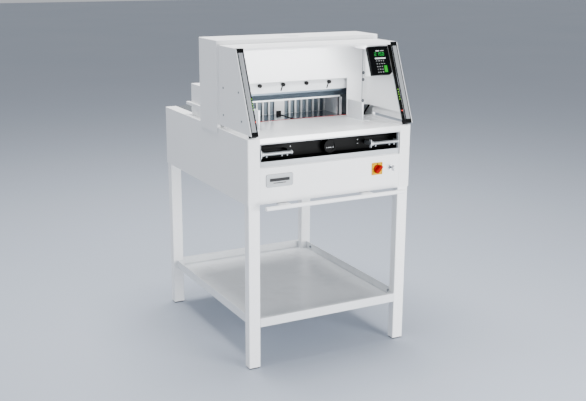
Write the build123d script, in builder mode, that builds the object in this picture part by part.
from build123d import *
import math
import os

os.makedirs("parts", exist_ok=True)

# An electric stack paper cutter (guillotine) on a four-legged stand.
# X runs to the right, Y to the back, Z up, in millimetres. The origin is on the
# floor, in the middle of the cutter's box.

# ---- Overall sizes -------------------------------------------------------------
cabinet_width = 757.0
cabinet_depth = 900.0
cabinet_height = 264.0
table_height = 959.0
overall_height = 1314.0
cut_width = 475.0

# ---- Stock and gaps ------------------------------------------------------------
sheet = 2.0
seam = 0.5
running_gap = 0.05
free_gap = 1.0
screw_head_radius = 3.9
screw_head_height = 1.6

# ---- Stand ---------------------------------------------------------------------
leg_width = 50.0
leg_depth = 40.0
leg_wall = 2.5
leg_inset_x = 4.0
leg_inset_y = 3.0
pad_height = 5.0
pad_margin = 3.0
base_plate_lift = 20.0
base_plate_thickness = 8.0
tray_floor_height = 178.0
tray_rim = 37.0
tray_leg_inset = 19.0
tray_ledge = 18.0
bolt_head_radius = 6.5
bolt_head_height = 5.0

# ---- Knee bar ------------------------------------------------------------------
knee_bar_radius = 8.5
knee_bar_standoff = 50.0
knee_bar_side_gap = 53.5
knee_bar_drop = 6.0
knee_arm_width = 46.0
knee_arm_thickness = 4.0
knee_arm_x = (-225.0, 160.0)
knee_pivot_reach = 80.0
knee_pin_radius = 4.0
knee_barrel_radius = 8.0
knee_ear_thickness = 4.0

# ---- Cabinet -------------------------------------------------------------------
corner_strip = 53.0
table_thickness = 27.0
table_nose_radius = 7.0
table_skin = 12.0
table_rim = 16.0
recess_height = 68.5
recess_side_wall = 56.0
recess_depth = 60.0
recess_wall = 1.5
bezel_height = 23.0
bezel_set_back = 6.0

# ---- Hand wheel, cut levers, badge, switch and lock ----------------------------
wheel_x = 10.0
wheel_radius = 28.0
wheel_width = 20.0
wheel_shaft_radius = 5.0
wheel_grooves = 24
tool_drop = 3.0
lever_length = 138.0
lever_radius = 7.0
lever_inset = 71.0
lever_arm_thickness = 4.0
lever_pivot_reach = 40.0
lever_pin_radius = 3.0
lever_ear_thickness = 3.0
badge_width = 120.0
badge_height = 53.0
badge_inset = 85.5
badge_thickness = 2.5
switch_inset = 110.5
switch_plate_size = 52.0
switch_plate_thickness = 3.0
switch_shaft_radius = 5.0
switch_knob_radius = 17.0
lock_inset = 44.5
lock_radius = 9.0
lock_plug_radius = 6.0
controls_height = 787.0

# ---- Cutting head, measured back from the cabinet's front face ------------------
cut_line = 343.0
stick_width = 15.0
stick_depth = 10.0
blade_thickness = 9.0
blade_height = 82.0
blade_edge_lift = 91.0
blade_stroke = blade_edge_lift - 0.2
blade_left = -243.0
blade_right = 273.0
carrier_thickness = 14.0
carrier_overlap = 50.0
carrier_height = 218.0
carrier_chamfer = 45.0
blade_swing = 30.0
blade_bolt_x = (-172.0, -62.0, 50.0, 162.0)
blade_bolt_radius = 8.5
guide_pin_radius = 10.0
guide_pin_x = 150.0
guide_pin_height = 1185.0
clamp_lift = 82.0
clamp_height = 116.0
clamp_depth = 33.0
clamp_gap = 4.0
clamp_side_gap = 1.5
spindle_radius = 9.0
spindle_x = 190.0
pulley_radius = 24.0
pulley_height = 14.0
belt_thickness = 2.0
belt_gap = 0.15
beam_bottom = 1165.0
beam_height = 98.0
beam_depth = 46.0
clamp_motor_radius = 33.0
clamp_motor_height = 110.0
frame_plate_x = 290.0
frame_plate_thickness = 20.0
frame_plate_front = 322.0
frame_plate_depth = 136.0
frame_plate_top = 1290.0

# ---- Back gauge and paper guides -----------------------------------------------
gauge_set_back = 483.0
gauge_thickness = 16.0
gauge_height = 100.0
gauge_rib = 8.0
gauge_pitch = 30.0
gauge_rib_depth = 9.0
gauge_hub = (-20.0, 30.0)
gauge_foot_width = 20.0
gauge_foot_reach = 8.0
gauge_lift = 0.6
slot_width = 16.0
slot_end = 850.0
gauge_screw_radius = 8.0
gauge_screw_drop = 56.0
gauge_pulley_radius = 16.0
guide_x = 243.0
guide_thickness = 6.0
guide_height = 79.0
front_guide_start = 170.0
front_guide_end = 290.0
rear_guide_start = 352.0
rear_guide_gap = (366.0, 386.0)
rear_guide_end = 862.0
guide_foot = 38.0

# ---- Blade drive ---------------------------------------------------------------
crank_x = 225.0
crank_height = 825.0
crank_radius = 58.0
crank_pin_radius = 8.0
crank_thickness = 12.0
crank_shaft_radius = 12.0
crank_shaft_reach = 30.0
gearbox_half = 60.0
gearbox_depth = 95.0
blade_motor_radius = 44.0
blade_motor_length = 190.0
rod_width = 10.0
yoke_margin = 13.0
yoke_mismatch = 12.0

# ---- Housing, hood and covers --------------------------------------------------
housing_overhang = 4.0
housing_front = 282.0
housing_depth = 182.0
housing_overlap = 20.0
housing_strip = 14.0
hood_drop = 19.0
hood_front = 115.0
hood_lip = 10.0
hood_foot_front = -20.0
cheek_lift = 14.0
front_cover_set_back = 299.0
front_cover_lift = 171.0
liner_inset = 34.5
cover_inset = 28.0
liner_lift = 49.0
liner_flange = 24.0
liner_bend = 14.0
light_bar_width = 29.0
light_bar_depth = 30.0
light_cap_length = 17.0
light_window_depth = 24.0
light_window_thickness = 1.5
panel_width = 100.0
panel_height = 122.0
panel_thickness = 16.0
panel_corner = 9.0
panel_inset = 120.0
panel_from_top = 13.0
panel_set_back = 10.0
pod_inset = 112.0
pod_bottom = 1162.0
pod_back = 235.0
pod_fall = 24.0
pod_taper = 58.0
pod_taper_depth = 135.0
plug_radius = 36.0
plug_x = -8.0
plug_set_back = 74.0
rear_cover_inset = 28.5
rear_cover_height = 139.0
rear_cover_end = 640.0
rear_rail_end = 675.0
rear_rail_lift = 44.0
rear_rail_height = 12.0

# ---- Wiring and screws ---------------------------------------------------------
conduit_radius = 4.0
conduit_hole_radius = 5.5
conduit_low_inset = 43.5
conduit_high_inset = 12.5
conduit_top_lift = 96.0
cheek_screw_places = ((240.0, 1129.0), (93.0, 1129.0), (240.0, 1019.0), (66.0, 1019.0))
liner_screw_heights = (1147.0, 1117.0, 1024.0)
liner_screw_inset = 4.8
tray_bolt_inset = 90.0

# ---- Places worked out from the sizes above ------------------------------------
half_width = cabinet_width / 2
housing_half = half_width + housing_overhang
liner_x = housing_half - liner_inset
front_cover_half = liner_x - cover_inset
panel_left = liner_x - panel_inset
pod_left = liner_x - pod_inset
rear_cover_half = half_width - rear_cover_inset
face_y = -(cabinet_depth - knee_bar_standoff - knee_bar_radius) / 2
back_y = face_y + cabinet_depth
cabinet_bottom = table_height - cabinet_height
base_z = cabinet_bottom + base_plate_lift
table_half = half_width - corner_strip
recess_width = 2 * (half_width - recess_side_wall)
lever_x = recess_width / 2 - lever_inset
badge_x = -table_half + badge_inset
switch_x = table_half - switch_inset
lock_x = table_half - lock_inset
table_bottom = table_height - table_thickness
cut_y = face_y + cut_line
recess_top = table_bottom - seam
recess_bottom = recess_top - recess_height
hood_top = overall_height - hood_drop
cheek_bottom = table_height + cheek_lift
blade_back = cut_y
blade_front = blade_back - blade_thickness
carrier_front = blade_front - carrier_thickness
blade_edge = table_height + blade_edge_lift
carrier_bottom = blade_edge + blade_height - carrier_overlap
clamp_front = cut_y + clamp_gap
clamp_bottom = table_height + clamp_lift
clamp_half = cut_width / 2 - clamp_side_gap
gauge_half = cut_width / 2 + 2.5
spindle_y = clamp_front + clamp_depth / 2
cover_y = face_y + front_cover_set_back
cover_bottom = table_height + front_cover_lift

# The light bars lean: this is the line of their front faces, from top to bottom.
bar_top = Vector(0, face_y + hood_front, hood_top)
bar_foot = Vector(0, face_y + hood_foot_front, cheek_bottom)
bar_length = (bar_foot - bar_top).length
bar_down = (bar_foot - bar_top).normalized()
bar_out = Vector(0, bar_down.Z, -bar_down.Y)


def slab(x, y, z, mode=Mode.ADD):
    """Add a box between three pairs of limits to the part being built."""
    with Locations(((x[0] + x[1]) / 2, (y[0] + y[1]) / 2, (z[0] + z[1]) / 2)):
        Box(x[1] - x[0], y[1] - y[0], z[1] - z[0], mode=mode)


def mirrored(sign, low, high):
    """Limits on the left (sign -1) or right (sign 1) side of the middle."""
    return tuple(sorted((sign * low, sign * high)))


def leaning_plane(x, down, behind):
    """A plane across the light bars' line, its normal pointing down the line."""
    origin = Vector(x, 0, 0) + bar_top + bar_down * down - bar_out * behind
    return Plane(origin=origin, x_dir=(1, 0, 0), z_dir=bar_down)


def facing_plane(x, down, behind):
    """A plane parallel to the light bars' front faces, its normal pointing out."""
    origin = Vector(x, 0, 0) + bar_top + bar_down * down - bar_out * behind
    return Plane(origin=origin, x_dir=(1, 0, 0), z_dir=bar_out)


def save(piece, name):
    """Label a finished piece and write it as a STEP file."""
    piece.part.label = name
    export_step(piece.part, f"parts/{name}.step")


# ================================ Stand ==========================================
leg_x = half_width - leg_inset_x - leg_width / 2
leg_front_y = face_y + leg_inset_y + leg_depth / 2
leg_back_y = back_y - leg_inset_y - leg_depth / 2
leg_places = [(x, y) for x in (-leg_x, leg_x) for y in (leg_front_y, leg_back_y)]

with BuildPart() as foot_pads:
    with BuildSketch(Plane.XY):
        with Locations(*leg_places):
            RectangleRounded(leg_width - 2 * pad_margin, leg_depth - 2 * pad_margin, 3)
    extrude(amount=pad_height)
save(foot_pads, "foot_pads")

with BuildPart() as legs:
    with BuildSketch(Plane.XY.offset(pad_height)):
        with Locations(*leg_places):
            RectangleRounded(leg_width, leg_depth, 3)
            Rectangle(leg_width - 2 * leg_wall, leg_depth - 2 * leg_wall, mode=Mode.SUBTRACT)
    extrude(amount=base_z - pad_height)
    with BuildSketch(Plane.XY.offset(pad_height)):
        with Locations(*leg_places):
            Rectangle(leg_width - 2 * leg_wall, leg_depth - 2 * leg_wall)
    extrude(amount=leg_wall)
save(legs, "legs")

tray_half = half_width - leg_inset_x - tray_leg_inset
tray_front = face_y + leg_inset_y
tray_back = back_y - leg_inset_y
tray_notch_x = leg_x - leg_width / 2 - seam
tray_notch_y = leg_inset_y + leg_depth + seam
with BuildPart() as shelf_tray:
    slab((-tray_half, tray_half), (tray_front, tray_back),
         (tray_floor_height, tray_floor_height + tray_rim))
    for sign in (-1, 1):
        notch = mirrored(sign, tray_notch_x, half_width)
        tall = (0, table_height)
        slab(notch, (face_y - 1, face_y + tray_notch_y), tall, mode=Mode.SUBTRACT)
        slab(notch, (back_y - tray_notch_y, back_y + 1), tall, mode=Mode.SUBTRACT)
    offset(amount=-sheet, openings=shelf_tray.faces().sort_by(Axis.Z)[-1])
    ledge_z = (tray_floor_height + tray_rim - sheet, tray_floor_height + tray_rim)
    ledge_x = (-tray_notch_x, tray_notch_x)
    slab(ledge_x, (tray_front, tray_front + tray_ledge), ledge_z)
    slab(ledge_x, (tray_back - tray_ledge, tray_back), ledge_z)
save(shelf_tray, "shelf_tray")

base_half = half_width - sheet - free_gap
base_front = face_y + sheet + bezel_set_back + free_gap
base_back = back_y - sheet - free_gap
knee_pivot_y = face_y + knee_pivot_reach
knee_pivot_z = base_z - knee_barrel_radius - free_gap
knee_arm_top = cabinet_bottom - 3 * free_gap
ear_bottom = knee_pivot_z - knee_barrel_radius
with BuildPart() as base_plate:
    slab((-base_half, base_half), (base_front, base_back), (base_z, base_z + base_plate_thickness))
    for arm_x in knee_arm_x:
        for sign in (-1, 1):
            inner = arm_x + sign * (knee_arm_width / 2 + free_gap)
            outer = inner + sign * knee_ear_thickness
            slab(tuple(sorted((inner, outer))), (knee_pivot_y - 9, knee_pivot_y + 9), (ear_bottom, base_z))
        with BuildSketch(Plane.YZ.offset(arm_x)):
            with Locations((knee_pivot_y, knee_pivot_z)):
                Circle(knee_pin_radius)
        extrude(amount=knee_arm_width / 2 + free_gap + knee_ear_thickness, both=True)
save(base_plate, "base_plate")

knee_bar_y = face_y - knee_bar_standoff
knee_bar_z = cabinet_bottom - knee_bar_drop
knee_bar_length = 2 * (half_width - knee_bar_side_gap)
with BuildPart() as knee_bar:
    with BuildSketch(Plane.YZ.offset(-knee_bar_length / 2)):
        with Locations((knee_bar_y, knee_bar_z)):
            Circle(knee_bar_radius)
    extrude(amount=knee_bar_length)
    fillet(knee_bar.edges().filter_by(GeomType.CIRCLE), radius=3)
    for arm_x in knee_arm_x:
        with BuildSketch(Plane.YZ.offset(arm_x)):
            with Locations((knee_pivot_y, knee_pivot_z)):
                Circle(knee_barrel_radius)
        extrude(amount=knee_arm_width / 2, both=True)
        slab((arm_x - knee_arm_width / 2, arm_x + knee_arm_width / 2),
             (knee_bar_y, knee_pivot_y + knee_barrel_radius),
             (knee_arm_top - knee_arm_thickness, knee_arm_top))
        slab((arm_x - knee_arm_width / 2, arm_x + knee_arm_width / 2),
             (knee_pivot_y - knee_barrel_radius, knee_pivot_y + knee_barrel_radius),
             (knee_arm_top - knee_arm_thickness, knee_pivot_z))
        with BuildSketch(Plane.YZ.offset(arm_x)):
            with Locations((knee_pivot_y, knee_pivot_z)):
                Circle(knee_pin_radius + running_gap)
        extrude(amount=knee_arm_width, both=True, mode=Mode.SUBTRACT)
save(knee_bar, "knee_bar")

# =============================== Cabinet =========================================
for side, sign in (("left", -1), ("right", 1)):
    with BuildPart() as side_panel:
        outer = mirrored(sign, table_half + seam, half_width)
        slab(outer, (face_y, back_y), (cabinet_bottom, table_height))
        wall_edges = side_panel.edges().filter_by(Axis.Z).sort_by(Axis.X)
        fillet(wall_edges[:2] if sign < 0 else wall_edges[-2:], radius=6)
        hollow = mirrored(sign, table_half - 1, half_width - sheet)
        slab(hollow, (face_y + sheet, back_y - sheet), (cabinet_bottom - 1, table_height - sheet),
             mode=Mode.SUBTRACT)
        if sign > 0:
            with BuildSketch(Plane.XY.offset(table_height)):
                with Locations((half_width - conduit_low_inset, cover_y)):
                    Circle(conduit_hole_radius)
            extrude(amount=-2 * sheet, mode=Mode.SUBTRACT)
    save(side_panel, f"side_panel_{side}")

panel_half = table_half
bezel_top = recess_bottom
bezel_low = bezel_top - bezel_height
wheel_z = (recess_top + recess_bottom) / 2 - tool_drop
with BuildPart() as front_panel:
    slab((-panel_half, panel_half), (face_y, face_y + sheet), (cabinet_bottom, bezel_low))
    slab((-panel_half, panel_half), (face_y, face_y + bezel_set_back + sheet),
         (bezel_low - sheet, bezel_low))
    slab((-panel_half, panel_half), (face_y + bezel_set_back, face_y + bezel_set_back + sheet),
         (bezel_low - sheet, recess_top))
    slab((-recess_width / 2, recess_width / 2), (face_y, face_y + 20), (recess_bottom, recess_top),
         mode=Mode.SUBTRACT)
    with BuildSketch(Plane.XZ.offset(-face_y)):
        with Locations((switch_x, controls_height)):
            Circle(switch_shaft_radius + free_gap)
        with Locations((lock_x, controls_height)):
            Circle(lock_radius - 1 + running_gap)
    extrude(amount=-3 * sheet, mode=Mode.SUBTRACT)
save(front_panel, "front_panel")

gland_x = -220.0
gland_z = cabinet_bottom + 65.0
gland_radius = 11.0
cord_hole_radius = 4.0
vent_x = 150.0
vent_z = cabinet_bottom + 130.0
vent_length = 120.0
vent_width = 5.0
vent_pitch = 14.0
with BuildPart() as rear_panel:
    slab((-panel_half, panel_half), (back_y - sheet, back_y), (cabinet_bottom, table_bottom - seam))
    with BuildSketch(Plane.XZ.offset(-back_y)):
        with Locations((gland_x, gland_z)):
            Circle(gland_radius - 3)
        with Locations((vent_x, vent_z)):
            with GridLocations(0, vent_pitch, 1, 6):
                SlotOverall(vent_length, vent_width)
    extrude(amount=3 * sheet, both=True, mode=Mode.SUBTRACT)
save(rear_panel, "rear_panel")

with BuildPart() as cable_gland:
    with BuildSketch(Plane.XZ.offset(-back_y + sheet + 8)):
        with Locations((gland_x, gland_z)):
            Circle(gland_radius - 3)
            Circle(cord_hole_radius, mode=Mode.SUBTRACT)
    extrude(amount=-(sheet + 8))
    with BuildSketch(Plane.XZ.offset(-back_y + sheet)):
        with Locations((gland_x, gland_z)):
            RegularPolygon(gland_radius, 6)
            Circle(cord_hole_radius, mode=Mode.SUBTRACT)
    extrude(amount=6)
save(cable_gland, "cable_gland")

recess_front = face_y + bezel_set_back + sheet
with BuildPart() as tool_recess:
    slab((-recess_width / 2, recess_width / 2), (recess_front, recess_front + recess_depth),
         (recess_bottom, recess_top))
    offset(amount=-recess_wall, openings=tool_recess.faces().sort_by(Axis.Y)[0])
    with BuildSketch(Plane.XZ.offset(-recess_front)):
        with Locations((wheel_x, wheel_z)):
            Circle(wheel_shaft_radius + running_gap)
    extrude(amount=-2 * recess_depth, mode=Mode.SUBTRACT)
save(tool_recess, "tool_recess")

# ================================ Tables =========================================
frame_notch_x = frame_plate_x - free_gap
frame_front = face_y + frame_plate_front
frame_back = frame_front + frame_plate_depth
stick_front = cut_y - stick_width / 2
stick_back = cut_y + stick_width / 2
rod_x = blade_right - rod_width / 2
rod_front = carrier_front + 1.5
rod_back = blade_front - 1.5
with BuildPart() as front_table:
    slab((-table_half, table_half), (face_y, frame_front - 2 * free_gap), (table_bottom, table_height))
    nose = front_table.edges().filter_by(Axis.X).group_by(Axis.Y)[0]
    fillet(nose.sort_by(Axis.Z)[0], radius=table_nose_radius)
    fillet(front_table.edges().filter_by(Axis.X).group_by(Axis.Z)[-1].sort_by(Axis.Y)[0], radius=2)
    slab((-frame_notch_x, frame_notch_x), (frame_front - 2 * free_gap, stick_front),
         (table_bottom, table_height))
    slab((-table_half + table_rim, table_half - table_rim), (face_y + 2 * table_rim, frame_front - table_rim),
         (table_bottom - 1, table_height - table_skin), mode=Mode.SUBTRACT)
    slab((rod_x - rod_width / 2 - blade_swing - 2 * free_gap, rod_x + rod_width / 2 + 2 * free_gap),
         (rod_front - 2 * free_gap, rod_back + 2 * free_gap),
         (table_bottom - 1, table_height + 1), mode=Mode.SUBTRACT)
save(front_table, "front_table")

with BuildPart() as rear_table:
    slab((-frame_notch_x, frame_notch_x), (stick_back, frame_back + 2 * free_gap),
         (table_bottom, table_height))
    slab((-table_half, table_half), (frame_back + 2 * free_gap, back_y), (table_bottom, table_height))
    slab((-frame_notch_x, frame_notch_x), (stick_front, stick_back),
         (table_bottom, table_height - stick_depth))
    slab((-slot_width / 2, slot_width / 2), (stick_back - 1, face_y + slot_end),
         (table_bottom - 1, table_height + 1), mode=Mode.SUBTRACT)
    for sign in (-1, 1):
        slab(mirrored(sign, 2 * table_rim, table_half - table_rim),
             (frame_back + table_rim, back_y - table_rim),
             (table_bottom - 1, table_height - table_skin), mode=Mode.SUBTRACT)
    screw_z = table_height - gauge_screw_drop
    slab((-18, 18), (stick_front, stick_back), (screw_z - 16, table_bottom))
    with BuildSketch(Plane.XZ.offset(-stick_front)):
        with Locations((0, screw_z)):
            Circle(gauge_screw_radius + running_gap)
    extrude(amount=-2 * stick_width, mode=Mode.SUBTRACT)
save(rear_table, "rear_table")

with BuildPart() as cutting_stick:
    slab((-frame_notch_x + 2, frame_notch_x - 2), (stick_front, stick_back),
         (table_height - stick_depth, table_height))
save(cutting_stick, "cutting_stick")

# ============================ Frame and blade ====================================
for side, sign in (("left", -1), ("right", 1)):
    with BuildPart() as side_frame:
        slab(mirrored(sign, frame_plate_x, frame_plate_x + frame_plate_thickness), (frame_front, frame_back),
             (base_z + base_plate_thickness, frame_plate_top))
        slab(mirrored(sign, frame_plate_x, table_half), (frame_front - 40, frame_back + 40),
             (base_z + base_plate_thickness, base_z + base_plate_thickness + 14))
    save(side_frame, f"side_frame_{side}")

beam_front = blade_front + 2
beam_back = beam_front + beam_depth
beam_top = beam_bottom + beam_height
with BuildPart() as cross_beam:
    slab((-frame_plate_x, frame_plate_x), (beam_front, beam_back), (beam_bottom, beam_top))
    with BuildSketch(Plane.XY.offset(beam_bottom)):
        with Locations((-spindle_x, spindle_y), (spindle_x, spindle_y)):
            Circle(spindle_radius + running_gap)
    extrude(amount=beam_height, mode=Mode.SUBTRACT)
save(cross_beam, "cross_beam")

with BuildPart() as guide_pins:
    with BuildSketch(Plane.XZ.offset(-beam_front)):
        with Locations((-guide_pin_x, guide_pin_height), (guide_pin_x, guide_pin_height)):
            Circle(guide_pin_radius)
    extrude(amount=beam_front - carrier_front + free_gap)
    with BuildSketch(Plane.XZ.offset(-carrier_front + free_gap)):
        with Locations((-guide_pin_x, guide_pin_height), (guide_pin_x, guide_pin_height)):
            Circle(guide_pin_radius + 6)
    extrude(amount=4)
save(guide_pins, "guide_pins")

# The blade cuts with a swing: it goes down and to the left in one straight line.
carrier_top = carrier_bottom + carrier_height
with BuildPart() as blade_carrier:
    with BuildSketch(Plane.XZ.offset(-blade_front)):
        with BuildLine():
            Polyline((blade_left, carrier_bottom), (blade_right, carrier_bottom),
                     (blade_right, carrier_top), (blade_left + carrier_chamfer, carrier_top),
                     (blade_left + carrier_chamfer, carrier_bottom + 70),
                     (blade_left, carrier_bottom + 25), close=True)
        make_face()
        slot_reach = 2 * (guide_pin_radius + 2 * running_gap)
        swing_angle = math.degrees(math.atan2(blade_stroke, blade_swing))
        stroke_length = math.hypot(blade_stroke, blade_swing)
        for pin_x in (-guide_pin_x, guide_pin_x):
            with Locations((pin_x + blade_swing / 2, guide_pin_height + blade_stroke / 2)):
                SlotCenterToCenter(stroke_length + 4 * running_gap, slot_reach, rotation=swing_angle,
                                   mode=Mode.SUBTRACT)
    extrude(amount=carrier_thickness)
    with BuildSketch(Plane.XZ.offset(-carrier_front)):
        for bolt_x in (blade_bolt_x[1], blade_bolt_x[3]):
            with Locations((bolt_x - 4, carrier_bottom + 20)):
                SlotCenterToCenter(26, 7, rotation=swing_angle)
    extrude(amount=-2, mode=Mode.SUBTRACT)
save(blade_carrier, "blade_carrier")

with BuildPart() as blade:
    with BuildSketch(Plane.YZ.offset(blade_left)):
        with BuildLine():
            Polyline((blade_front, blade_edge + 22), (blade_back - 0.4, blade_edge), (blade_back, blade_edge),
                     (blade_back, blade_edge + blade_height), (blade_front, blade_edge + blade_height),
                     close=True)
        make_face()
    extrude(amount=blade_right - blade_left)
save(blade, "blade")

with BuildPart() as blade_bolts:
    with BuildSketch(Plane.XZ.offset(-carrier_front)):
        with Locations(*[(x, carrier_bottom + 33) for x in blade_bolt_x]):
            Circle(blade_bolt_radius)
            RegularPolygon(3, 6, mode=Mode.SUBTRACT)
    extrude(amount=9)
save(blade_bolts, "blade_bolts")

# =============================== Blade drive =====================================
yoke_z = crank_height + blade_stroke / 2
rod_low = yoke_z - yoke_mismatch - crank_pin_radius - yoke_margin
rod_high = yoke_z + yoke_mismatch + crank_pin_radius + yoke_margin
yoke_left = crank_x - blade_stroke / 2 - crank_pin_radius - yoke_margin + blade_swing / 2
yoke_right = rod_x + rod_width / 2
slot_left = yoke_left + yoke_margin - 4
slot_right = crank_x + blade_swing + crank_pin_radius + 2
with BuildPart() as pull_rod:
    slab((rod_x - rod_width / 2, rod_x + rod_width / 2), (rod_front, rod_back), (rod_low, carrier_bottom))
    slab((yoke_left, yoke_right), (rod_front, rod_back), (rod_low, rod_high))
    with BuildSketch(Plane.XZ.offset(-rod_back)):
        with Locations(((slot_left + slot_right) / 2, yoke_z)):
            RectangleRounded(slot_right - slot_left, 2 * (yoke_mismatch + crank_pin_radius), 6)
    extrude(amount=3 * carrier_thickness, both=True, mode=Mode.SUBTRACT)
save(pull_rod, "pull_rod")

crank_front = rod_back + 4
crank_back = crank_front + crank_thickness
gearbox_front = crank_back + 4
with BuildPart() as crank:
    with BuildSketch(Plane.XZ.offset(-crank_back)):
        with Locations((crank_x, crank_height)):
            Circle(crank_radius)
    extrude(amount=crank_back - crank_front)
    with BuildSketch(Plane.XZ.offset(-crank_front)):
        with Locations((crank_x, yoke_z)):
            Circle(crank_pin_radius)
    extrude(amount=crank_front - rod_front)
    with BuildSketch(Plane.XZ.offset(-gearbox_front - crank_shaft_reach)):
        with Locations((crank_x, crank_height)):
            Circle(crank_shaft_radius)
    extrude(amount=crank_shaft_reach + gearbox_front - crank_back)
save(crank, "crank")

gearbox_x = (crank_x - gearbox_half, crank_x + gearbox_half)
gearbox_y = (gearbox_front, gearbox_front + gearbox_depth)
with BuildPart() as blade_gearmotor:
    slab(gearbox_x, gearbox_y, (crank_height - gearbox_half, crank_height + gearbox_half))
    fillet(blade_gearmotor.edges().filter_by(Axis.Y), radius=10)
    slab(gearbox_x, gearbox_y, (base_z + base_plate_thickness, crank_height - gearbox_half + 12))
    with BuildSketch(Plane.YZ.offset(crank_x - gearbox_half)):
        with Locations((gearbox_front + gearbox_depth / 2, crank_height)):
            Circle(blade_motor_radius)
    extrude(amount=-blade_motor_length)
    with BuildSketch(Plane.XZ.offset(-gearbox_front)):
        with Locations((crank_x, crank_height)):
            Circle(crank_shaft_radius + running_gap)
    extrude(amount=-crank_shaft_reach - 2, mode=Mode.SUBTRACT)
save(blade_gearmotor, "blade_gearmotor")

# ================================= Clamp =========================================
with BuildPart() as clamp_beam:
    slab((-clamp_half, clamp_half), (clamp_front, clamp_front + clamp_depth),
         (clamp_bottom, clamp_bottom + clamp_height))
    lip_edge = clamp_beam.edges().filter_by(Axis.X).group_by(Axis.Z)[0].sort_by(Axis.Y)[0]
    chamfer(lip_edge, length=2)
    with BuildSketch(Plane.XY.offset(clamp_bottom + 3)):
        with Locations((-spindle_x, spindle_y), (spindle_x, spindle_y)):
            Circle(spindle_radius + running_gap)
    extrude(amount=clamp_height, mode=Mode.SUBTRACT)
save(clamp_beam, "clamp_beam")

pulley_bottom = beam_top + 3
for side, sign in (("left", -1), ("right", 1)):
    with BuildPart() as clamp_spindle:
        with BuildSketch(Plane.XY.offset(clamp_bottom + 4)):
            with Locations((sign * spindle_x, spindle_y)):
                Circle(spindle_radius)
        extrude(amount=pulley_bottom - clamp_bottom)
        with BuildSketch(Plane.XY.offset(pulley_bottom)):
            with Locations((sign * spindle_x, spindle_y)):
                Circle(pulley_radius)
        extrude(amount=pulley_height)
    save(clamp_spindle, f"clamp_spindle_{side}")

clamp_motor_y = beam_back + clamp_motor_radius
pulley_places = [(-spindle_x, spindle_y), (spindle_x, spindle_y), (0, clamp_motor_y)]
with BuildPart() as clamp_motor:
    with BuildSketch(Plane.XY.offset(pulley_bottom - clamp_motor_height - 3)):
        with Locations((0, clamp_motor_y)):
            Circle(clamp_motor_radius)
    extrude(amount=clamp_motor_height)
    with BuildSketch(Plane.XY.offset(pulley_bottom - 3)):
        with Locations((0, clamp_motor_y)):
            Circle(pulley_radius)
    extrude(amount=pulley_height + 3)
save(clamp_motor, "clamp_motor")

# =============================== Back gauge ======================================
gauge_front = face_y + gauge_set_back
gauge_back = gauge_front + gauge_thickness
gauge_bottom = table_height + gauge_lift
gauge_top = gauge_bottom + gauge_height
with BuildPart() as back_gauge:
    slab((-gauge_half, gauge_half), (gauge_front, gauge_back), (gauge_bottom, gauge_top))
    pocket_width = gauge_pitch - gauge_rib
    for hub_edge in gauge_hub:
        sign = math.copysign(1, hub_edge)
        for step in range(int((gauge_half - abs(hub_edge)) // gauge_pitch)):
            near = hub_edge + sign * step * gauge_pitch
            slab(tuple(sorted((near, near + sign * pocket_width))),
                 (gauge_front - 1, gauge_front + gauge_rib_depth),
                 (gauge_bottom - 1, gauge_top - gauge_rib), mode=Mode.SUBTRACT)
save(back_gauge, "back_gauge")

carriage_nut_z = table_height - gauge_screw_drop
web_width = slot_width - 2 * free_gap
with BuildPart() as gauge_carriage:
    slab((-gauge_foot_width / 2, gauge_foot_width / 2), (gauge_front - gauge_foot_reach, gauge_front),
         (gauge_bottom, gauge_bottom + 15))
    slab((-web_width / 2, web_width / 2), (gauge_front - gauge_foot_reach, gauge_back + 24),
         (carriage_nut_z, gauge_bottom + 2))
    slab((-web_width / 2 - 14, web_width / 2 + 14), (gauge_back, gauge_back + 24),
         (gauge_bottom, gauge_bottom + 40))
    slab((-20, 20), (gauge_front - gauge_foot_reach, gauge_back + 24),
         (carriage_nut_z - 18, table_bottom - 3))
    with BuildSketch(Plane.XZ.offset(-gauge_front + 20)):
        with Locations((0, carriage_nut_z)):
            Circle(gauge_screw_radius + running_gap)
    extrude(amount=-80, mode=Mode.SUBTRACT)
    slab((-web_width / 2 - 1, web_width / 2 + 1), (gauge_front, gauge_back), (gauge_bottom, gauge_bottom + 2),
         mode=Mode.SUBTRACT)
save(gauge_carriage, "gauge_carriage")

gauge_screw_end = face_y + slot_end + 30
motor_drop = 60.0
with BuildPart() as gauge_spindle:
    with BuildSketch(Plane.XZ.offset(-stick_front - 1)):
        with Locations((0, carriage_nut_z)):
            Circle(gauge_screw_radius)
    extrude(amount=-(gauge_screw_end - stick_front - 1))
    with BuildSketch(Plane.XZ.offset(-gauge_screw_end + 12)):
        with Locations((0, carriage_nut_z)):
            Circle(gauge_pulley_radius)
    extrude(amount=-12)
save(gauge_spindle, "gauge_spindle")

bracket_front = gauge_screw_end - 24
with BuildPart() as gauge_motor:
    slab((-26, 26), (bracket_front, bracket_front + 8), (carriage_nut_z - motor_drop - 32, table_bottom))
    with BuildSketch(Plane.XZ.offset(-bracket_front)):
        with Locations((0, carriage_nut_z)):
            Circle(gauge_screw_radius + running_gap)
    extrude(amount=-8, mode=Mode.SUBTRACT)
    with BuildSketch(Plane.XZ.offset(-bracket_front)):
        with Locations((0, carriage_nut_z - motor_drop)):
            Circle(28)
    extrude(amount=75)
    with BuildSketch(Plane.XZ.offset(-bracket_front - 8)):
        with Locations((0, carriage_nut_z - motor_drop)):
            Circle(gauge_pulley_radius)
    extrude(amount=-16)
save(gauge_motor, "gauge_motor")

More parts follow.
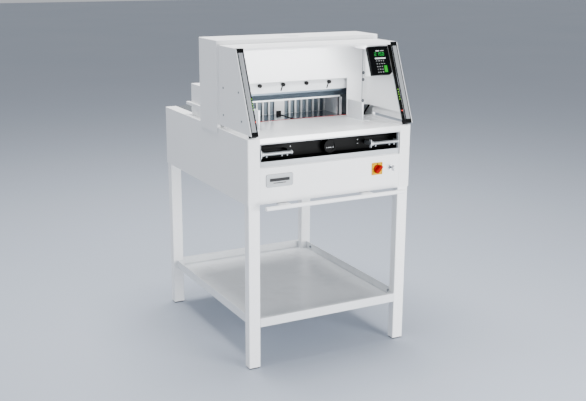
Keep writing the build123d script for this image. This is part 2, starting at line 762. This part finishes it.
gauge_belt_plane = Plane.XZ.offset(-gauge_screw_end + 10)
clamp_belt_plane = Plane.XY.offset(pulley_bottom + 2)
gauge_pulleys = [(0, carriage_nut_z), (0, carriage_nut_z - motor_drop)]
with BuildPart() as drive_belts:
    for plane, places, radius, height in (
            (clamp_belt_plane, pulley_places, pulley_radius, pulley_height - 4),
            (gauge_belt_plane, gauge_pulleys, gauge_pulley_radius, -8)):
        with BuildSketch(plane):
            with Locations(*places):
                Circle(radius + belt_gap)
            make_hull()
            offset(amount=belt_thickness, kind=Kind.ARC)
        extrude(amount=height)
        with BuildSketch(plane):
            with Locations(*places):
                Circle(radius + belt_gap)
            make_hull()
        extrude(amount=height, mode=Mode.SUBTRACT)
save(drive_belts, "drive_belts")

with BuildPart() as paper_guides:
    for sign in (-1, 1):
        guide_z = (table_height, table_height + guide_height)
        slab(mirrored(sign, guide_x, guide_x + guide_thickness),
             (face_y + front_guide_start, face_y + front_guide_end), guide_z)
        slab(mirrored(sign, guide_x, guide_x + guide_foot),
             (face_y + front_guide_start, face_y + front_guide_start + 40),
             (table_height, table_height + 3))
        slab(mirrored(sign, guide_x, guide_x + guide_thickness),
             (face_y + rear_guide_start, face_y + rear_guide_gap[0]), guide_z)
        slab(mirrored(sign, guide_x, guide_x + guide_thickness),
             (face_y + rear_guide_gap[1], face_y + rear_guide_end), guide_z)
save(paper_guides, "paper_guides")

# ============================ Housing and hood ===================================
housing_y = face_y + housing_front
housing_back = housing_y + housing_depth
with BuildPart() as upper_housing:
    slab((-housing_half, housing_half), (housing_y, housing_back),
         (table_height - housing_overlap, overall_height))
    outer_edges = upper_housing.edges().filter_by(Axis.Z) + upper_housing.edges().group_by(Axis.Z)[-1]
    fillet(outer_edges, radius=3)
    slab((-housing_half + sheet, housing_half - sheet), (housing_y + sheet, housing_back - sheet),
         (0, overall_height - sheet), mode=Mode.SUBTRACT)
    opening = housing_half - housing_strip
    slab((-opening, opening), (housing_y - 1, housing_y + 3 * sheet), (0, hood_top - sheet),
         mode=Mode.SUBTRACT)
    tunnel = rear_cover_half + free_gap
    slab((-tunnel, tunnel), (housing_back - 3 * sheet, housing_back + 1),
         (0, table_height + rear_cover_height + free_gap), mode=Mode.SUBTRACT)
    slab((-housing_half + sheet, housing_half - sheet), (housing_y - 1, housing_back + 1),
         (0, table_height + free_gap), mode=Mode.SUBTRACT)
    with BuildSketch(Plane.XY.offset(overall_height)):
        with Locations((plug_x, housing_y + plug_set_back)):
            Circle(plug_radius + seam)
    extrude(amount=-2 * sheet, mode=Mode.SUBTRACT)
save(upper_housing, "upper_housing")

with BuildPart() as top_plug:
    with BuildSketch(Plane.XY.offset(overall_height)):
        with Locations((plug_x, housing_y + plug_set_back)):
            Circle(plug_radius)
    extrude(amount=-sheet)
save(top_plug, "top_plug")

cheek_outer = housing_half - housing_strip + sheet + 1
cheek_inner = cheek_outer - sheet
with BuildPart() as hood:
    slab((-cheek_outer, cheek_outer), (face_y + hood_front, housing_y), (hood_top - sheet, hood_top))
    slab((-cheek_outer, cheek_outer), (face_y + hood_front, face_y + hood_front + sheet),
         (hood_top - hood_lip, hood_top))
    for sign in (-1, 1):
        slab(mirrored(sign, cheek_inner - light_bar_width - 2, cheek_outer),
             (face_y, face_y + hood_front + light_bar_depth + 12), (0, hood_top - sheet), mode=Mode.SUBTRACT)
        slab(mirrored(sign, cheek_inner - light_bar_width - 2, cheek_outer),
             (face_y, face_y + hood_front + light_bar_depth / 2), (0, overall_height), mode=Mode.SUBTRACT)
save(hood, "hood")

for side, sign in (("left", -1), ("right", 1)):
    with BuildPart() as cheek:
        with BuildSketch(Plane.YZ.offset(sign * cheek_inner)):
            with BuildLine():
                Polyline((bar_foot.Y, bar_foot.Z), (bar_top.Y, bar_top.Z - sheet),
                         (housing_y, hood_top - sheet), (housing_y, cheek_bottom), close=True)
            make_face()
        extrude(amount=sign * sheet)
    save(cheek, f"cheek_{side}")

liner_end = light_bar_depth + 2
for side, sign in (("left", -1), ("right", 1)):
    with BuildPart() as liner:
        with BuildSketch(Plane.XY.offset(table_height + liner_lift)):
            with BuildLine():
                FilletPolyline((sign * (front_cover_half + seam), cover_y + sheet / 2),
                               (sign * (front_cover_half + liner_flange), cover_y + sheet / 2),
                               (sign * liner_x, cover_y - 50),
                               (sign * liner_x, face_y), radius=liner_bend)
            trace(line_width=sheet)
        extrude(amount=hood_top - sheet - seam - table_height - liner_lift)
        with BuildSketch(Plane.YZ):
            top = bar_top - bar_out * liner_end - bar_down * 60
            foot = bar_foot - bar_out * liner_end + bar_down * 60
            with BuildLine():
                Polyline((top.Y, top.Z), (foot.Y, foot.Z), (foot.Y - 400, foot.Z),
                         (foot.Y - 400, top.Z), close=True)
            make_face()
        extrude(amount=sign * cabinet_width, mode=Mode.SUBTRACT)
    save(liner, f"liner_{side}")

with BuildPart() as front_cover:
    slab((-front_cover_half, front_cover_half), (cover_y, cover_y + sheet),
         (table_height + free_gap, hood_top - sheet - seam))
    slab((-guide_x, guide_x), (cover_y - 1, cover_y + 3 * sheet), (0, cover_bottom), mode=Mode.SUBTRACT)
save(front_cover, "front_cover")

# ============================= Light barriers ====================================
bar_x = cheek_inner - 0.5 - light_bar_width / 2
for side, sign in (("left", -1), ("right", 1)):
    with BuildPart() as light_bar:
        with BuildSketch(leaning_plane(sign * bar_x, light_cap_length, 0)):
            Rectangle(light_bar_width, light_bar_depth, align=(Align.CENTER, Align.MAX))
            with Locations((-8, 0), (0, 0), (8, 0)):
                Rectangle(2, 3, mode=Mode.SUBTRACT)
            with Locations((-sign * light_bar_width / 2, -light_window_depth / 2 - 2)):
                Rectangle(2 * light_window_thickness, light_window_depth, mode=Mode.SUBTRACT)
        extrude(amount=bar_length - 2 * light_cap_length)
    save(light_bar, f"light_bar_{side}")

with BuildPart() as light_bar_caps:
    for sign in (-1, 1):
        for down in (0, bar_length - light_cap_length):
            with BuildSketch(leaning_plane(sign * bar_x, down, 0)):
                Rectangle(light_bar_width, light_bar_depth, align=(Align.CENTER, Align.MAX))
            extrude(amount=light_cap_length)
save(light_bar_caps, "light_bar_caps")

# ============================== Control panel ====================================
panel_mid_x = panel_left + panel_width / 2
panel_mid_down = panel_from_top + panel_height / 2
panel_back = panel_set_back + panel_thickness
with BuildPart() as control_panel:
    with BuildSketch(facing_plane(panel_mid_x, panel_mid_down, panel_back)):
        with BuildLine():
            Polyline((-panel_width / 2, -panel_height / 2),
                     (panel_width / 2 - panel_corner, -panel_height / 2),
                     (panel_width / 2, -panel_height / 2 + panel_corner),
                     (panel_width / 2, panel_height / 2), (-panel_width / 2, panel_height / 2), close=True)
        make_face()
    extrude(amount=panel_thickness)
    out_axis = Axis(origin=(0, 0, 0), direction=bar_out)
    fillet(control_panel.faces().sort_by(out_axis)[-1].edges(), radius=2)
save(control_panel, "control_panel")

with BuildPart() as panel_pod:
    with BuildSketch(Plane.YZ.offset(pod_left)):
        pod_top = bar_top - bar_out * panel_back
        pod_high_z = hood_top - sheet - 2 * free_gap
        slope = bar_down.Y / bar_down.Z
        with BuildLine():
            Polyline((pod_top.Y + slope * (pod_high_z - pod_top.Z), pod_high_z),
                     (face_y + pod_back, pod_high_z), (face_y + pod_back, pod_bottom - pod_fall),
                     (pod_top.Y + slope * (pod_bottom - pod_top.Z), pod_bottom), close=True)
        make_face()
    extrude(amount=liner_x - sheet / 2 - pod_left)
    slab((bar_x - light_bar_width / 2 - 1, liner_x + 5), (face_y - 50, face_y + pod_back - 60),
         (0, overall_height), mode=Mode.SUBTRACT)
    with BuildSketch(Plane.XY.offset(pod_bottom - 2 * pod_fall)):
        with BuildLine():
            Polyline((pod_left - 1, face_y + pod_back - pod_taper_depth),
                     (pod_left - 1, face_y + pod_back + 1), (pod_left + pod_taper, face_y + pod_back + 1),
                     (pod_left + pod_taper, face_y + pod_back),
                     (pod_left, face_y + pod_back - pod_taper_depth), close=True)
        make_face()
    extrude(amount=overall_height - pod_bottom, mode=Mode.SUBTRACT)
save(panel_pod, "panel_pod")

# ======================== Tools in the front recess ==============================
wheel_back = recess_front + recess_depth - 12
with BuildPart() as hand_wheel:
    with BuildSketch(Plane.XZ.offset(-wheel_back + wheel_width)):
        with Locations((wheel_x, wheel_z)):
            Circle(wheel_radius)
            with PolarLocations(wheel_radius, wheel_grooves):
                Circle(1.6, mode=Mode.SUBTRACT)
    extrude(amount=-wheel_width)
    with BuildSketch(Plane.XZ.offset(-wheel_back + wheel_width)):
        with Locations((wheel_x, wheel_z)):
            Circle(wheel_radius - 7)
    extrude(amount=-3, mode=Mode.SUBTRACT)
    with BuildSketch(Plane.XZ.offset(-wheel_back)):
        with Locations((wheel_x, wheel_z)):
            Circle(wheel_shaft_radius)
    extrude(amount=-24)
save(hand_wheel, "hand_wheel")

lever_y = face_y + lever_radius - 2
lever_pivot_y = lever_y + lever_pivot_reach
for side, sign in (("left", -1), ("right", 1)):
    with BuildPart() as lever:
        with BuildSketch(Plane.YZ.offset(sign * lever_x)):
            with Locations((lever_y, wheel_z)):
                Circle(lever_radius)
        extrude(amount=lever_length / 2, both=True)
        for end in (-1, 1):
            outer = sign * lever_x + end * lever_length / 2
            inner = outer - end * lever_arm_thickness
            with BuildSketch(Plane.YZ.offset(min(outer, inner))):
                with Locations(((lever_y + lever_pivot_y) / 2, wheel_z)):
                    SlotCenterToCenter(lever_pivot_reach, 2 * lever_radius)
                with Locations((lever_pivot_y, wheel_z)):
                    Circle(lever_pin_radius + running_gap, mode=Mode.SUBTRACT)
            extrude(amount=lever_arm_thickness)
    save(lever, f"cut_lever_{side}")

recess_rear = recess_front + recess_depth - recess_wall
with BuildPart() as lever_brackets:
    for sign in (-1, 1):
        for end in (-1, 1):
            outer = sign * lever_x + end * (lever_length / 2 - lever_arm_thickness - free_gap)
            inner = outer - end * lever_ear_thickness
            slab(tuple(sorted((inner, outer))), (lever_pivot_y - 8, recess_rear), (wheel_z - 8, wheel_z + 8))
        slab((sign * lever_x - lever_length / 2 + 8, sign * lever_x + lever_length / 2 - 8),
             (recess_rear - 2, recess_rear), (wheel_z - 14, wheel_z + 14))
        with BuildSketch(Plane.YZ.offset(sign * lever_x)):
            with Locations((lever_pivot_y, wheel_z)):
                Circle(lever_pin_radius)
        extrude(amount=lever_length / 2, both=True)
save(lever_brackets, "lever_brackets")

with BuildPart() as badge_plate:
    with BuildSketch(Plane.XZ.offset(-face_y)):
        with Locations((badge_x, controls_height)):
            RectangleRounded(badge_width, badge_height, 9)
    extrude(amount=badge_thickness)
    fillet(badge_plate.faces().sort_by(Axis.Y)[0].edges(), radius=1)
save(badge_plate, "badge_plate")

with BuildPart() as switch_plate:
    with BuildSketch(Plane.XZ.offset(-face_y)):
        with Locations((switch_x, controls_height)):
            RectangleRounded(switch_plate_size, switch_plate_size, 4)
            Circle(switch_shaft_radius + running_gap, mode=Mode.SUBTRACT)
    extrude(amount=switch_plate_thickness)
save(switch_plate, "switch_plate")

knob_back = face_y - switch_plate_thickness - running_gap
with BuildPart() as main_switch:
    with BuildSketch(Plane.XZ.offset(-knob_back)):
        with Locations((switch_x, controls_height)):
            Circle(switch_knob_radius)
    extrude(amount=6)
    with BuildSketch(Plane.XZ.offset(-knob_back + 6)):
        with Locations((switch_x, controls_height)):
            SlotOverall(2 * switch_knob_radius + 6, 13, rotation=45)
    extrude(amount=14)
    with BuildSketch(Plane.XZ.offset(-knob_back)):
        with Locations((switch_x, controls_height)):
            Circle(switch_shaft_radius)
    extrude(amount=-30)
save(main_switch, "main_switch")

with BuildPart() as key_lock:
    with BuildSketch(Plane.XZ.offset(-face_y)):
        with Locations((lock_x, controls_height)):
            Circle(lock_radius)
            Circle(lock_plug_radius + running_gap, mode=Mode.SUBTRACT)
    extrude(amount=5)
    with BuildSketch(Plane.XZ.offset(-face_y)):
        with Locations((lock_x, controls_height)):
            Circle(lock_radius - 1)
            Circle(lock_plug_radius + running_gap, mode=Mode.SUBTRACT)
    extrude(amount=-20)
save(key_lock, "key_lock")

with BuildPart() as lock_key:
    with BuildSketch(Plane.XZ.offset(-face_y + 5)):
        with Locations((lock_x, controls_height)):
            Circle(lock_plug_radius)
    extrude(amount=-24)
    with BuildSketch(Plane.YZ.offset(lock_x)):
        with Locations((face_y - 9, controls_height)):
            Rectangle(10, 8)
        with Locations((face_y - 22, controls_height)):
            RectangleRounded(18, 24, 6)
            Circle(3, mode=Mode.SUBTRACT)
    extrude(amount=1.2, both=True)
save(lock_key, "lock_key")

# ============================ Rear of the cutter =================================
with BuildPart() as rear_cover:
    cover_top = table_height + rear_cover_height
    cover_start = housing_back + seam
    slab((-rear_cover_half, rear_cover_half), (cover_start, face_y + rear_cover_end),
         (table_height, cover_top))
    slab((-rear_cover_half + sheet, rear_cover_half - sheet), (0, back_y), (0, cover_top - sheet),
         mode=Mode.SUBTRACT)
    for sign in (-1, 1):
        slab(mirrored(sign, rear_cover_half - sheet, rear_cover_half + 12),
             (cover_start, face_y + rear_rail_end),
             (table_height + rear_rail_lift, table_height + rear_rail_lift + rear_rail_height))
save(rear_cover, "rear_cover")

with BuildPart() as electronics_box:
    slab((-table_half + 15, -120), (face_y + 520, face_y + 800),
         (base_z + base_plate_thickness, base_z + 130))
    fillet(electronics_box.edges().filter_by(Axis.Z), radius=4)
    offset(amount=-sheet, openings=electronics_box.faces().sort_by(Axis.Z)[0])
save(electronics_box, "electronics_box")

# ============================ Wiring and fasteners ===============================
conduit_low_z = table_bottom + 6
conduit_low_x = half_width - conduit_low_inset
conduit_high_x = half_width - conduit_high_inset
conduit_line = ((conduit_low_x, cover_y, conduit_low_z), (conduit_low_x, cover_y, table_height + 12),
                (conduit_high_x, cover_y, table_height + 52),
                (conduit_high_x, cover_y, table_height + conduit_top_lift))
with BuildPart() as cable_conduit:
    with BuildLine():
        FilletPolyline(*conduit_line, radius=14)
    with BuildSketch(Plane.XY.offset(conduit_low_z)):
        with Locations((conduit_low_x, cover_y)):
            Circle(conduit_radius)
    sweep()
save(cable_conduit, "cable_conduit")

cheek_screws = [(face_y + behind, height) for behind, height in cheek_screw_places]
liner_screw_x = front_cover_half + liner_screw_inset
tray_bolt_z = tray_floor_height + tray_rim / 2
with BuildPart() as screws:
    for sign in (-1, 1):
        with BuildSketch(Plane.YZ.offset(sign * cheek_outer)):
            with Locations(*cheek_screws):
                Circle(screw_head_radius)
        extrude(amount=sign * screw_head_height)
        with BuildSketch(Plane.XZ.offset(-cover_y)):
            with Locations(*[(sign * liner_screw_x, z) for z in liner_screw_heights]):
                Circle(screw_head_radius)
        extrude(amount=screw_head_height)
        with BuildSketch(Plane.YZ.offset(sign * (tray_half - sheet))):
            with Locations((face_y + tray_bolt_inset, tray_bolt_z), (back_y - tray_bolt_inset, tray_bolt_z)):
                RegularPolygon(bolt_head_radius, 6)
        extrude(amount=-sign * bolt_head_height)
save(screws, "screws")
